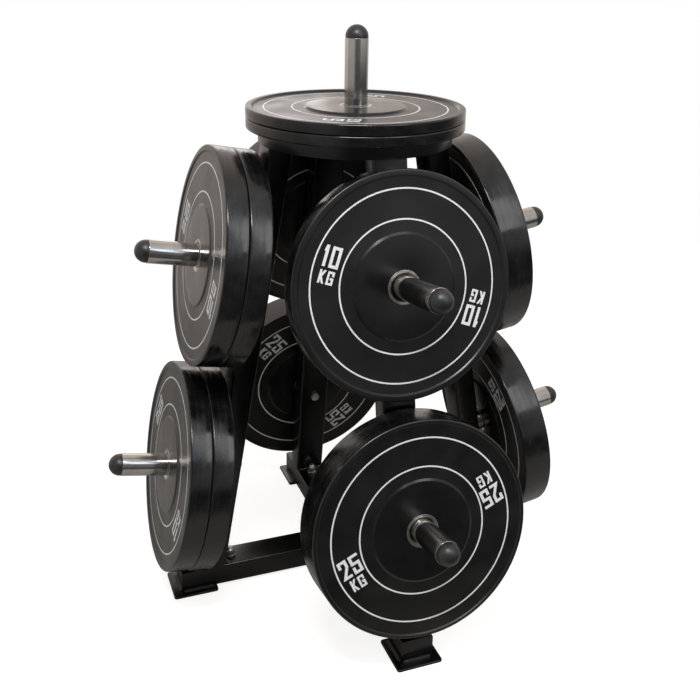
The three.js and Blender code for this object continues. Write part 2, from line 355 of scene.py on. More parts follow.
def material_of(finish):
    """The material of a finish, made once and named after its function."""
    if finish not in made_materials:
        look, _ = FINISHES[finish]
        material, tree, surface = empty_material(look.__name__)
        inputs = look(tree, bpy.context.scene.plate_tree_colours)
        shader = add_node(tree, "ShaderNodeBsdfPrincipled", inputs)
        tree.links.new(shader.outputs["BSDF"], surface)
        made_materials[finish] = material
    return made_materials[finish]


# Meshes

def add_object(name, data):
    """An object in the scene."""
    made = bpy.data.objects.new(name, data)
    bpy.context.scene.collection.objects.link(made)
    return made


def piece(name, shape, finishes, place, body=ROOT, node=None, zone=None, crease=32):
    """A mesh of points and faces that rides on a body, smooth but for creases of more than crease degrees.

    It stands for a node of the frame, if one is given. zone picks a finish by a face's centre.
    """
    points, faces = shape
    mesh = bpy.data.meshes.new(name)
    mesh.from_pydata([tuple(p) for p in points], [], faces)
    work = bmesh.new()
    work.from_mesh(mesh)
    bmesh.ops.recalc_face_normals(work, faces=work.faces)
    for face in work.faces:
        face.smooth = True
        if zone:
            face.material_index = finishes.index(zone(face.calc_center_median()))
    work.to_mesh(mesh)
    work.free()
    mesh.set_sharp_from_angle(angle=math.radians(crease))
    for finish in finishes:
        mesh.materials.append(material_of(finish))
    made = add_object(name, mesh)
    made.matrix_world = place
    if node:
        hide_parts(node)
    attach(made, body)


def unit(vector):
    return vector / np.linalg.norm(vector)


def fillet(corners, step=18):
    """A closed outline from corners of (x, y, radius). Each corner with a radius becomes an arc.

    step is the angle between the points of an arc, in degrees.
    """
    outline = []
    for i, (x, y, radius) in enumerate(corners):
        corner = np.array((x, y), float)
        if radius <= 0:
            outline.append(tuple(corner))
            continue
        before = unit(np.array(corners[i - 1][:2], float) - corner)
        after = unit(np.array(corners[(i + 1) % len(corners)][:2], float) - corner)
        half = math.acos(max(-1.0, min(1.0, before @ after))) / 2
        centre = corner + unit(before + after) * radius / math.sin(half)
        start = corner + before * radius / math.tan(half) - centre
        turn = math.pi - 2 * half
        way = math.copysign(1, start[1] * before[0] - start[0] * before[1])
        steps = max(2, math.ceil(math.degrees(turn) / step))
        for k in range(steps + 1):
            a = way * turn * k / steps
            c, s = math.cos(a), math.sin(a)
            outline.append((centre[0] + c * start[0] - s * start[1], centre[1] + s * start[0] + c * start[1]))
    return outline


def revolve(outline, steps):
    """Points and faces of a closed outline of (radius, height) turned round Z."""
    points, rings, faces = [], [], []
    for radius, height in outline:
        if math.isclose(radius, 0, abs_tol=1e-9):
            rings.append([len(points)] * steps)
            points.append((0, 0, height))
            continue
        rings.append(list(range(len(points), len(points) + steps)))
        for k in range(steps):
            a = 2 * math.pi * k / steps
            points.append((radius * math.cos(a), radius * math.sin(a), height))
    for ring, following in zip(rings, rings[1:] + rings[:1]):
        for k in range(steps):
            after = (k + 1) % steps
            face = list(dict.fromkeys([ring[k], ring[after], following[after], following[k]]))
            if len(face) > 2:
                faces.append(face)
    return points, faces


def loft(rings, closed=False):
    """Points and faces through outlines of equally many points. A closed one has no ends to cap."""
    count = len(rings[0])
    points = [p for ring in rings for p in ring]
    faces = []
    for r in range(len(rings) if closed else len(rings) - 1):
        first, second = r * count, (r + 1) % len(rings) * count
        for k in range(count):
            after = (k + 1) % count
            faces.append([first + k, first + after, second + after, second + k])
    if not closed:
        faces.append(list(range(count)))
        faces.append([(len(rings) - 1) * count + k for k in reversed(range(count))])
    return points, faces


def joined(*parts):
    """Several (points, faces) as one."""
    points, faces = [], []
    for some_points, some_faces in parts:
        base = len(points)
        points += [tuple(p) for p in some_points]
        faces += [[base + i for i in face] for face in some_faces]
    return points, faces


def moved(part, place):
    points, faces = part
    return [tuple(place @ Vector(p)) for p in points], faces


def rounded_rectangle(width, depth, corner):
    x, y = width / 2, depth / 2
    return fillet([(x, y, corner), (-x, y, corner), (-x, -y, corner), (x, -y, corner)])


def rounded_bar(width, depth, length, corner, edge):
    """A bar along Z from 0 to length, with rounded corners and rounded edges at its ends."""
    steps = 3
    rings = []
    for base, way in ((0, 1), (length, -1)):
        arc = []
        for k in range(steps + 1):
            a = QUARTER_TURN * k / steps
            inset = edge * (1 - math.sin(a))
            height = base + way * edge * (1 - math.cos(a))
            outline = rounded_rectangle(width - 2 * inset, depth - 2 * inset, corner - inset)
            arc.append([(x, y, height) for x, y in outline])
        rings += arc if way > 0 else arc[::-1]
    return loft(rings)


def hexagon(flats, low, high, dish=0.0, steps=72):
    """A hexagonal head or nut from low to high, with a chamfer at both ends. The low end can be dished."""
    # The end faces are turned a little narrower than the flats, at 30 degrees to the end.
    turned = 0.96 * flats / 2
    chamfer = math.tan(math.radians(30))
    # Rings of the dished end: shares of its radius and of the dish's depth
    dish_rings = ((0.55, 1), (0.75, 0.3), (0.9, 0), (1, 0))
    side = math.pi / 3
    angles = [2 * math.pi * k / steps for k in range(steps)]
    reach = [flats / 2 / math.cos((a + side / 2) % side - side / 2) for a in angles]

    def ring(radii, heights):
        return [(r * math.cos(a), r * math.sin(a), h) for r, a, h in zip(radii, angles, heights)]

    def circle(radius, height):
        return ring([radius] * steps, [height] * steps)

    return loft([
        *(circle(share * turned, low + depth * dish) for share, depth in dish_rings),
        ring(reach, [low + (r - turned) * chamfer for r in reach]),
        ring(reach, [high - (r - turned) * chamfer for r in reach]),
        circle(turned, high),
    ])


# Places in the frame

def place_of(x, y, z, origin):
    """A place with these axes and this origin."""
    place = Matrix((x, y, z)).transposed().to_4x4()
    place.translation = origin
    return place


def peg_axis(peg):
    """The direction in which a peg points: the way its plates slide off."""
    joint = next(j for j in frame["joints"] if j["child"] == PEGS[peg][0])
    return Vector(joint["axis"]).normalized()


def along(axis, origin):
    """A place with its Z along a peg, and its X on the underside, or to the right for an upright peg."""
    z = Vector(axis).normalized()
    x = Vector((1, 0, 0)) if z.z > UPRIGHT else (z * z.z - UP).normalized()
    return place_of(x, z.cross(x), z, origin)


def local_points(node, place):
    """A node's points as seen from a place, one row each."""
    inverse = place.inverted()
    return np.array([inverse @ vertex.co for vertex in frame["nodes"][node].data.vertices])


def seat_of(node, axis):
    """Where a turned node stands: a place at its lower end on its own axis, and its length."""
    turn = along(axis, (0, 0, 0))
    local = local_points(node, turn)
    low, high = local.min(0), local.max(0)
    origin = turn @ Vector(((low[0] + high[0]) / 2, (low[1] + high[1]) / 2, low[2]))
    return along(axis, origin), float(high[2] - low[2])


def radii_of(node, place):
    """The distances of a node's points from its place's axis to 0.1 mm, each once and smallest first."""
    local = local_points(node, place)
    return sorted(set(np.round(np.hypot(local[:, 0], local[:, 1]), 4)))


# Plates

def ring_depth(thickness):
    """How deep the ring lies between hub and lip. The thin plates have a deeper one."""
    sizes = bpy.context.scene.plate_tree_plates
    return sizes.thin_recess if thickness < sizes.thin_below else sizes.recess


def both_faces(half, thickness):
    """The section of a plate from the corners of its lower face, given as (radius, depth, rounding)."""
    return half + [(radius, thickness - depth, rounding) for radius, depth, rounding in reversed(half)]


def disc(name, body, place, thickness):
    """The rubber body of a plate: hub, recessed ring, lip and rounded rim on both faces."""
    sizes = bpy.context.scene.plate_tree_plates
    _, hub, hub_foot, _, ring, edge, rim = radii_of(body, place)
    recess = ring_depth(thickness)
    lip_round = sizes.lip_round * recess / sizes.recess
    slope_low = (hub + hub_foot - sizes.slope) / 2
    slope_high = slope_low + sizes.slope
    half = [
        (sizes.insert_radius + sizes.insert_gap, 0, sizes.bore_round),
        (slope_low, 0, sizes.hub_round),
        (slope_high, recess, sizes.hub_round),
        (ring - recess, recess, lip_round),
        (ring, 0, lip_round),
        (rim, 0, rim - edge),
    ]

    def zone(centre):
        distance = math.hypot(centre.x, centre.y)
        if distance > (rim + edge) / 2:
            return "rim"
        return "hub" if distance < slope_high else "rubber"

    shape = revolve(fillet(both_faces(half, thickness), sizes.arc_step), sizes.steps)
    piece(name, shape, ["rubber", "rim", "hub"], place, body, body, zone)


def insert(name, body, node, place, thickness):
    """The steel insert of a plate, with its tapered mouths."""
    sizes = bpy.context.scene.plate_tree_plates
    bore, mouth = sizes.bore_radius, sizes.mouth_radius
    half = [(bore, mouth - bore, SOFT), (mouth, 0, FINE), (sizes.insert_radius, 0, FINE)]
    shape = revolve(fillet(both_faces(half, thickness)), sizes.steps)
    piece(name, shape, ["insert"], place, body, node)


def stroke(path, width, closed):
    """Left and right edges of a stroke along a path, with mitred corners."""
    # The least cosine of half a corner's turn, which limits how far a sharp mitre reaches
    mitre_limit = 0.35
    points = [np.array(p, float) for p in path]
    count = len(points)
    left, right = [], []
    for i, p in enumerate(points):
        into = p - points[i - 1] if closed or i else points[1] - p
        out = points[(i + 1) % count] - p if closed or i < count - 1 else into
        into, out = unit(into), unit(out)
        normal = unit(np.array((-into[1] - out[1], into[0] + out[0])))
        reach = width / 2 / max(mitre_limit, normal @ np.array((-into[1], into[0])))
        left.append(p + normal * reach)
        right.append(p - normal * reach)
    return left, right


def figure(sign, width, height, thick, lift):
    """One block figure with its lower left corner at the origin, a thin film from just under the rubber."""
    parts = []
    for kind, shares in FIGURE_SHARES[sign]:
        if kind == "filled":
            area = [(x * width, y * height) for x, y in shares]
            parts.append(loft([[(x, y, h) for x, y in area] for h in (-lift, lift)]))
            continue
        line = [(thick / 2 + x * (width - thick), thick / 2 + y * (height - thick)) for x, y in shares]
        edges = zip(*stroke(line, thick, kind == "closed"))
        rings = [[(*a, -lift), (*b, -lift), (*b, lift), (*a, lift)] for a, b in edges]
        parts.append(loft(rings, kind == "closed"))
    return joined(*parts)


def line_of_text(text, height, full_width, thick, gap, lift):
    """Figures side by side, centred on X with their feet at Y zero."""
    widths = [full_width * NARROW_SHARES.get(sign, 1) for sign in text]
    start = -(sum(widths) + gap * (len(text) - 1)) / 2
    parts = []
    for sign, width in zip(text, widths):
        parts.append(moved(figure(sign, width, height, thick, lift), Matrix.Translation((start, 0, 0))))
        start += width + gap
    return joined(*parts)


def weight_block(text, sizes):
    """A plate's weight over its unit, reading along X."""
    upper = line_of_text(
        text, sizes.figure_height, sizes.figure_width, sizes.figure_stroke, sizes.figure_gap, sizes.ink_lift)
    lower = line_of_text(
        "KG", sizes.unit_height, sizes.unit_width, sizes.unit_stroke, sizes.unit_gap, sizes.ink_lift)
    return joined(
        moved(upper, Matrix.Translation((sizes.text_shift, -sizes.figure_drop, 0))),
        moved(lower, Matrix.Translation((sizes.text_shift, -sizes.unit_drop, 0))))


def face_print(text, turn, sizes):
    """What is printed on the ring of one face: two thin circles, with the weight twice between them."""
    lift = sizes.ink_lift
    parts = []
    for radius in (sizes.inner_circle, sizes.outer_circle):
        low, high = radius - sizes.circle_width / 2, radius + sizes.circle_width / 2
        parts.append(revolve([(low, -lift), (high, -lift), (high, lift), (low, lift)], sizes.steps))
    middle = (sizes.inner_circle + sizes.outer_circle) / 2
    for half_turn in (0, math.pi):
        # The text reads towards the hub.
        place = (Matrix.Rotation(math.radians(turn) + half_turn, 4, "Z")
                 @ Matrix.Translation((middle, 0, 0)) @ Matrix.Rotation(math.pi, 4, "Z"))
        parts.append(moved(weight_block(text, sizes), place))
    return joined(*parts)


def prints(name, body, place, thickness, text, turn):
    """The printed circles and weights on both faces of a plate."""
    sizes = bpy.context.scene.plate_tree_plates
    recess = ring_depth(thickness)
    flip = Matrix.Rotation(math.pi, 4, "X")
    outer = moved(face_print(text, turn, sizes), Matrix.Translation((0, 0, thickness - recess)))
    inner = moved(face_print(text, -turn, sizes), Matrix.Translation((0, 0, recess)) @ flip)
    piece(name, joined(outer, inner), ["ink"], place, body)


# Pegs

def sleeve(name, node, axis):
    """The chrome sleeve of a peg, with a plug in its root."""
    sizes = bpy.context.scene.plate_tree_pegs
    place, _ = seat_of(node, axis)
    local = local_points(node, place)
    distance = np.hypot(local[:, 0], local[:, 1])
    radius = float(distance.max())
    # The node holds the peg's bolt too, whose points are all well inside the sleeve's radius.
    bolt_share = 0.9
    heights = local[distance > bolt_share * radius][:, 2]
    root, end = float(heights.min()), float(heights.max())
    inside = radius - sizes.wall
    outline = fillet([
        (0, root, 0),
        (radius, root, PLAIN),
        (radius, end, sizes.edge_round),
        (inside, end, FINE),
        (inside, root + sizes.plug, 0),
        (0, root + sizes.plug, 0),
    ])
    piece(name, moved(revolve(outline, sizes.steps), place), ["chrome"], AT_ORIGIN, node=node)


def peg_bolt(name, node, axis):
    """The head of the bolt that holds a peg, on the inner side of its leg."""
    sizes = bpy.context.scene.plate_tree_pegs
    place, _ = seat_of(node, axis)
    head = hexagon(sizes.head_flats, 0, sizes.head_height, sizes.head_dish)
    piece(name, moved(head, place), ["zinc"], AT_ORIGIN)


def dome(name, node, axis):
    """The rubber cap in the end of a peg: spigot, collar and dome."""
    sizes = bpy.context.scene.plate_tree_pegs
    place, length = seat_of(node, axis)
    radius = radii_of(node, place)[-1]
    springing = length - radius
    shoulder = springing - sizes.collar
    spigot = 0.85 * radius
    # A round dome of full height would stand a little past the faceted one in the frame.
    height = 0.98 * radius
    profile = [
        (0, 0), (spigot, 0), (spigot, shoulder), (radius - SOFT, shoulder), (radius, shoulder + SOFT)]
    steps = 16
    for k in range(steps + 1):
        a = QUARTER_TURN * k / steps
        profile.append((radius * math.cos(a) if k < steps else 0, springing + height * math.sin(a)))
    piece(name, moved(revolve(profile, sizes.steps), place), ["dome"], AT_ORIGIN, node=node)


# Frame

def side_place(side):
    """A place at the origin with its X out to that side of the rack."""
    return Matrix.Rotation(math.radians(SIDES[side]), 4, "Z")


def upright(side):
    """A leaning leg of rectangular tube, open at both ends."""
    sizes = bpy.context.scene.plate_tree_frame
    place = side_place(side)
    local = local_points(f"leg_{side}", place)
    bottom, top = local[:, 2].min(), local[:, 2].max()
    outer, inner = (0, sizes.tube_corner), (sizes.tube_wall, sizes.tube_corner / 3)
    rings = []
    for height, (wall, corner) in ((bottom, outer), (top, outer), (top, inner), (bottom, inner)):
        level = local[np.abs(local[:, 2] - height) < LEVEL]
        low, high = level[:, 0].min(), level[:, 0].max()
        width = 2 * np.abs(level[:, 1]).max()
        outline = rounded_rectangle(high - low - 2 * wall, width - 2 * wall, corner)
        rings.append([(x + (low + high) / 2, y, height) for x, y in outline])
    piece(f"upright_{side}", loft(rings, True), ["coat"], place, node=f"leg_{side}", crease=40)


def closed_bar(name, node, place, corner, edge, lies):
    """A bar in a node's box with rounded corners, and closed, rounded ends. It lies along X or stands."""
    local = local_points(node, place)
    low, high = local.min(0), local.max(0)
    middle = (low + high) / 2
    length, depth, height = high - low
    if lies:
        bar = rounded_bar(height, depth, length, corner, edge)
        end = Matrix.Translation((low[0], middle[1], middle[2])) @ Matrix.Rotation(QUARTER_TURN, 4, "Y")
    else:
        bar = rounded_bar(length, depth, height, corner, edge)
        end = Matrix.Translation((middle[0], middle[1], low[2]))
    piece(name, moved(bar, end), ["coat"], place, node=node)


def cap_pan():
    """The round pan of sheet steel that ties the tops of the legs."""
    sizes = bpy.context.scene.plate_tree_frame
    place, height = seat_of("top_cap", UP)
    hole, *_, outside = radii_of("top_cap", place)
    sheet = sizes.cap_sheet
    # The sheet is a little thicker in the bend.
    inner_bend = sizes.cap_bend - sheet * 0.6
    outline = fillet([
        (hole, height - sheet, 0),
        (outside - sheet, height - sheet, inner_bend),
        (outside - sheet, 0, PLAIN),
        (outside, 0, SOFT),
        (outside, height, sizes.cap_bend),
        (hole, height, 0),
    ], step=12)
    piece("cap_pan", revolve(outline, sizes.cap_steps), ["coat"], place, node="top_cap")


def weld_bead(start, end, first, second, leg, ripple):
    """A weld along a straight inner corner, from start to end. first and second point along the two walls."""
    # Strips across the bead, rings in one ripple, and rings in the shortest bead
    strips, rings_per_ripple, fewest_rings = 6, 6, 8
    # Size at the ends and depth of the root, as shares of the leg, and how fast the size grows from the ends
    end_size, root, growth = 0.35, 0.1, 12
    # How much a ripple swells, how far its middle lags, and how much flatter than round the bead is
    swell, lag, flatness = 0.13, 0.35, 0.16
    length = float(np.linalg.norm(end - start))
    way = (end - start) / length
    count = max(fewest_rings, int(length / ripple * rings_per_ripple))
    rings = []
    for i in range(count + 1):
        share = i / count
        taper = min(1.0, end_size + growth * min(share, 1 - share))
        ring = [start + way * share * length - (first + second) * leg * root]
        for k in range(strips + 1):
            t = QUARTER_TURN * k / strips
            drag = lag * ripple * math.sin(2 * t)
            phase = 2 * math.pi * (share * length + drag) / ripple
            size = leg * taper * (1 + swell * math.sin(phase))
            bulge = 1 - flatness * math.sin(2 * t)
            ring.append(start + way * share * length
                        + first * size * bulge * math.cos(t) + second * size * bulge * math.sin(t))
        rings.append(ring)
    return loft(rings)


def welds():
    """The beads where the beams stand on the foot plates, and the legs on the beams."""
    sizes = bpy.context.scene.plate_tree_frame
    corner = sizes.tube_corner
    # How far the side beads reach under a beam's rounded corner
    tuck = corner * 0.4
    parts = []
    for side in SIDES:
        place = side_place(side)
        turn = np.array(place.to_3x3())

        def bead(start, end, wall):
            turned = (turn @ np.array(v, float) for v in (start, end, wall, UP))
            parts.append(weld_bead(*turned, sizes.weld_leg, sizes.weld_ripple))

        plate = local_points(f"foot_plate_{side}", place)
        beam_node = f"base_beam_{side}" if side in ("front", "rear") else "base_cross_beam"
        beam_end, half, beam_top = local_points(beam_node, place).max(0)
        foot_top = plate[:, 2].max()
        run = half - corner
        bead((beam_end, -run, foot_top), (beam_end, run, foot_top), (1, 0, 0))
        for way in (-1, 1):
            y = way * (half - tuck)
            bead((plate[:, 0].min() + corner, y, foot_top), (beam_end - corner, y, foot_top), (0, way, 0))
        local = local_points(f"leg_{side}", place)
        leg_foot = local[np.abs(local[:, 2] - local[:, 2].min()) < LEVEL]
        inner, outer = leg_foot[:, 0].min(), leg_foot[:, 0].max()
        bead((outer, -run, beam_top), (outer, run, beam_top), (1, 0, 0))
        bead((inner, -run, beam_top), (inner, run, beam_top), (-1, 0, 0))
    piece("weld_beads", joined(*parts), ["coat"], AT_ORIGIN, crease=60)


def base_fastener(side):
    """A base bolt with its cup head, washer, nut and threaded tip."""
    sizes = bpy.context.scene.plate_tree_frame
    node = f"base_bolt_{side}"
    place, length = seat_of(node, UP)
    radius, head, washer = sizes.bolt_radius, sizes.cup_radius, sizes.washer_radius
    # The cup head is widest from its brim to its seat, and its crown is flat in the middle.
    brim, seat, flat, crown_round = 3 * MM, 4.5 * MM, head * 0.5, 1 * MM
    cup = [(0, 0, 0), (flat, 0, crown_round), (head, brim, SOFT), (head, seat, 0), (radius, seat, 0)]
    washer_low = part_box("base_cross_beam")[1].z - place.translation.z + SEAT_GAP
    washer_top = washer_low + sizes.washer_thickness
    shank = [(radius, washer_low, 0), (washer, washer_low, KEEN), (washer, washer_top, PLAIN),
             (radius, washer_top, 0)]
    nut_top = washer_top + sizes.nut_height
    thread = [(radius, nut_top, 0)]
    # Each turn of thread has its crest and its groove at these shares of the pitch.
    crest, groove = 0.25, 0.75
    pitch = sizes.thread_pitch
    depth = 0.6 * pitch
    tip = 1 * MM
    turns = int((length - nut_top - tip) / pitch)
    for k in range(turns):
        thread += [(radius, nut_top + (k + crest) * pitch, 0),
                   (radius - depth, nut_top + (k + groove) * pitch, 0)]
    thread += [(radius, nut_top + turns * pitch, 0), (radius - tip, length, 0), (0, length, 0)]
    turned = revolve(fillet(cup + shank + thread), sizes.bolt_steps)
    nut = hexagon(sizes.nut_flats, washer_top, nut_top)
    piece(f"base_fastener_{side}", joined(turned, nut), ["zinc"], place, node=node)


# Properties

def number(name, description, default, **options):
    return FloatProperty(name=name, description=description, default=default, min=0, **options)


def mm(name, description, default):
    return number(name, description, default * MM, unit="LENGTH", precision=5)


def watts(name, description, default):
    return number(name, description, default, unit="POWER")


def degrees(name, description, default):
    return FloatProperty(name=name, description=description, default=math.radians(default), subtype="ANGLE")


def count(name, description, default, least):
    return IntProperty(name=name, description=description, default=default, min=least)


def colour(name, description, default):
    return FloatVectorProperty(
        name=name, description=description, default=linear(default), min=0, max=1, size=3, subtype="COLOR")


class PlateSizes(bpy.types.PropertyGroup):
    """Sizes of the bumper plates and of what is printed on them."""
    recess: mm("Recess", "Depth of the ring between the hub and the lip", 2.6)
    thin_recess: mm("Thin recess", "Depth of that ring on the thin plates", 4.3)
    thin_below: mm("Thin below", "Thickness below which a plate counts as thin", 30)
    slope: mm("Slope", "Width of the slope at the hub's edge", 4.5)
    hub_round: mm("Hub rounding", "Rounding of that slope", 0.8)
    lip_round: mm("Lip rounding", "Rounding of the slope inside the lip", 1.2)
    bore_round: mm("Bore rounding", "Rounding where the rubber meets the steel insert", 0.5)
    bore_radius: mm("Bore radius", "Radius of the hole for the peg", 25.2)
    mouth_radius: mm("Mouth radius", "Radius of the bore's tapered mouth", 29.2)
    insert_radius: mm("Insert radius", "Outer radius of the steel insert", 34)
    insert_gap: mm("Insert gap", "Room between the insert and the rubber", 0.2)
    inner_circle: mm("Inner circle", "Radius of the inner printed circle", 130.6)
    outer_circle: mm("Outer circle", "Radius of the outer printed circle", 188.5)
    circle_width: mm("Circle width", "Width of both printed circles", 3)
    figure_height: mm("Figure height", "Height of the weight's figures", 40.8)
    figure_width: mm("Figure width", "Width of one figure", 19.5)
    figure_stroke: mm("Figure stroke", "Width of the figures' strokes", 6)
    figure_gap: mm("Figure gap", "Gap between two figures", 4.8)
    unit_height: mm("Unit height", "Height of the unit's letters", 25.7)
    unit_width: mm("Unit width", "Width of one letter", 13.6)
    unit_stroke: mm("Unit stroke", "Width of the letters' strokes", 4.2)
    unit_gap: mm("Unit gap", "Gap between the two letters", 3.6)
    figure_drop: mm("Figure drop", "From the ring's middle down to the figures' feet", 1.4)
    unit_drop: mm("Unit drop", "From the ring's middle down to the letters' feet", 33.1)
    text_shift: mm("Text shift", "From the ring's middle to the text's, towards the hub", 2.2)
    ink_lift: mm("Ink lift", "How far the ink stands on the rubber", 0.12)
    steps: count("Steps", "Faces round a plate", 144, 24)
    arc_step: count("Arc step", "Degrees between the points of a rounded edge", 12, 1)


class PegSizes(bpy.types.PropertyGroup):
    """Sizes of the pegs, their caps and their bolts."""
    wall: mm("Wall", "Wall of the sleeve", 4)
    plug: mm("Plug", "Thickness of the plug in the root of a sleeve", 12)
    edge_round: mm("Edge rounding", "Rounding of the sleeve's outer edge", 0.7)
    collar: mm("Collar", "Straight part under the dome", 2.5)
    head_flats: mm("Head width", "Width across the flats of a bolt head", 19)
    head_height: mm("Head height", "Height of a bolt head", 8)
    head_dish: mm("Head dish", "Depth of the dish in a bolt head", 1.5)
    steps: count("Steps", "Faces round a peg", 72, 12)


class FrameSizes(bpy.types.PropertyGroup):
    """Sizes of the tubes, plates, welds and fasteners of the rack."""
    tube_corner: mm("Tube corner", "Outer corner radius of the tubes", 4.5)
    tube_wall: mm("Tube wall", "Wall of the tubes", 3)
    beam_edge: mm("Beam edge", "Rounding of a beam's closed end", 1.2)
    foot_corner: mm("Foot corner", "Corner radius of a foot plate", 6)
    foot_edge: mm("Foot edge", "Rounding of a foot plate's edges", 1.8)
    cap_sheet: mm("Cap sheet", "Thickness of the cap's sheet", 2)
    cap_bend: mm("Cap bend", "Outer radius of the bend in the cap's rim", 4)
    cap_steps: count("Cap steps", "Faces round the cap", 144, 24)
    weld_leg: mm("Weld leg", "Height of a weld bead on each wall", 6)
    weld_ripple: mm("Weld ripple", "Length of one ripple of a bead", 4.5)
    bolt_radius: mm("Bolt radius", "Radius of the base bolts", 6)
    cup_radius: mm("Cup head radius", "Radius of a base bolt's cup head", 13)
    washer_radius: mm("Washer radius", "Radius of a washer", 12)
    washer_thickness: mm("Washer thickness", "Thickness of a washer", 2.5)
    nut_flats: mm("Nut width", "Width across the flats of a nut", 19)
    nut_height: mm("Nut height", "Height of a nut", 10)
    thread_pitch: mm("Thread pitch", "Pitch of the bolts' threads", 1.75)
    bolt_steps: count("Bolt steps", "Faces round a bolt", 32, 8)


class Colours(bpy.types.PropertyGroup):
    """Colours of the finishes."""
    rubber: colour("Rubber", "Faces of the plates", "#111111")
    rim: colour("Rim", "Rims of the plates", "#161616")
    coat: colour("Powder coat", "Legs, beams, feet and cap", "#0b0b0b")
    chrome: colour("Chrome", "Sleeves of the pegs", "#b8b5b1")
    insert: colour("Insert steel", "Inserts of the plates", "#c8c5c1")
    zinc: colour("Zinc", "Bolts and nuts", "#dcdbd9")
    dome: colour("Cap rubber", "Domes on the peg ends", "#212224")
    ink: colour("Ink", "Circles and weights on the plates", "#ececec")


class StageSettings(bpy.types.PropertyGroup):
    """Camera, lights and floor."""
    focal_length: number("Focal length", "In millimetres on a 36 mm sensor", 49.74)
    camera_place: FloatVectorProperty(
        name="Camera", description="Where the camera stands", default=(-0.69882, -1.86503, 1.3941),
        subtype="XYZ", unit="LENGTH")
    yaw: degrees("Yaw", "Turn to the left", -21.607)
    pitch: degrees("Pitch", "Look down", 20.548)
    roll: degrees("Roll", "Tilt of the frame", 1.312)
    shift: FloatVectorProperty(
        name="Shift", description="Shift of the frame", size=2, default=(-0.02784, -0.06969))
    ambient: number("Ambient", "Light from all round on the object", 0.45)
    dim_left: number("Front left", "How bright the room's front is in reflections, to the left", 0.2)
    dim_right: number("Front right", "The same to the right", 0.65)
    left: number("Left wall", "How bright the left wall is in reflections", 0.6)
    dark: number("Dark ground", "How bright the ground in front is in reflections", 0.1)
    ceiling: number("Ceiling", "How bright the ceiling is in reflections", 0.8)
    low: number("Low share", "What the walls keep of their brightness near the ground", 0.6)
    warmth: colour("Warmth", "Colour of the backdrop in reflections", "#fff3eb")
    paper: colour("Paper", "Colour of the floor", "#b9b3ad")
    floor_width: mm("Floor width", "Width of the sheet of paper", 5000)
    floor_front: mm("Floor front", "How far the paper reaches in front of the rack", 800)
    floor_back: mm("Floor back", "How far the paper reaches behind the rack", 2000)
    glow: number("Floor glow", "What lifts the floor to white for the camera", 0.84)
    faint_glow: number("Faint glow", "The same in reflections", 0.03)
    window: watts("Window", "High in front, to the right", 12.5)
    front: watts("Front light", "High in front, narrow", 3)
    rear: watts("Rear light", "Behind the rack", 4)
    overhead: watts("Overhead light", "High above the front left", 60)


# Stage

def mirrored(tree, rays):
    """1 for a ray that comes off a mirror or through glass, and 0 for any other."""
    return add_node(tree, "ShaderNodeMath", {0: rays["Is Glossy Ray"], 1: rays["Is Transmission Ray"]},
                    operation="MAXIMUM").outputs[0]


def studio_world(settings):
    """White for the camera. Reflections show a bright backdrop and ceiling, a left wall and a dim front."""
    world = bpy.data.worlds.new("studio")
    bpy.context.scene.world = world
    world.use_nodes = True
    tree = world.node_tree
    tree.nodes.clear()
    rays = add_node(tree, "ShaderNodeLightPath").outputs
    direction = add_node(tree, "ShaderNodeTexCoord").outputs["Generated"]
    axes = add_node(tree, "ShaderNodeSeparateXYZ", {"Vector": direction}).outputs

    def fade(part, low, high):
        """A brightness that goes from low to high across the span of a part of the room."""
        axis, start, end = ROOM_SPANS[part]
        return add_node(tree, "ShaderNodeMapRange", {
            "Value": axes[axis], "From Min": start, "From Max": end, "To Min": low, "To Max": high},
            interpolation_type="SMOOTHSTEP").outputs["Result"]

    def together(room, part, operation="MAXIMUM"):
        """The room so far with one more part."""
        return add_node(tree, "ShaderNodeMath", {0: room, 1: part}, operation=operation).outputs[0]

    room = together(fade("backdrop", 0.0, 1.0), fade("ceiling", 0.0, settings.ceiling))
    room = together(room, fade("left wall", 0.0, settings.left))
    # The walls darken towards the ground, where the room's own floor is dark.
    room = together(room, fade("lower walls", settings.low, 1.0), "MULTIPLY")
    front = fade("front right", settings.dim_left, settings.dim_right)
    room = together(room, fade("front", settings.dark, front))
    # The tint goes from white in front to the warm backdrop.
    white = (1, 1, 1, 1)
    tint = two_colours(tree, axes["Y"], white[:3], settings.warmth, start=-0.3, end=0.3)
    reflected = add_node(tree, "ShaderNodeBackground", {"Color": tint, "Strength": room})
    ambient = add_node(tree, "ShaderNodeBackground", {"Color": white, "Strength": settings.ambient})
    plain = add_node(tree, "ShaderNodeBackground", {"Color": white, "Strength": 1.0})
    lit = add_node(tree, "ShaderNodeMixShader", {
        0: mirrored(tree, rays), 1: ambient.outputs[0], 2: reflected.outputs[0]})
    seen = add_node(tree, "ShaderNodeMixShader", {
        0: rays["Is Camera Ray"], 1: lit.outputs[0], 2: plain.outputs[0]})
    add_node(tree, "ShaderNodeOutputWorld", {"Surface": seen.outputs[0]})


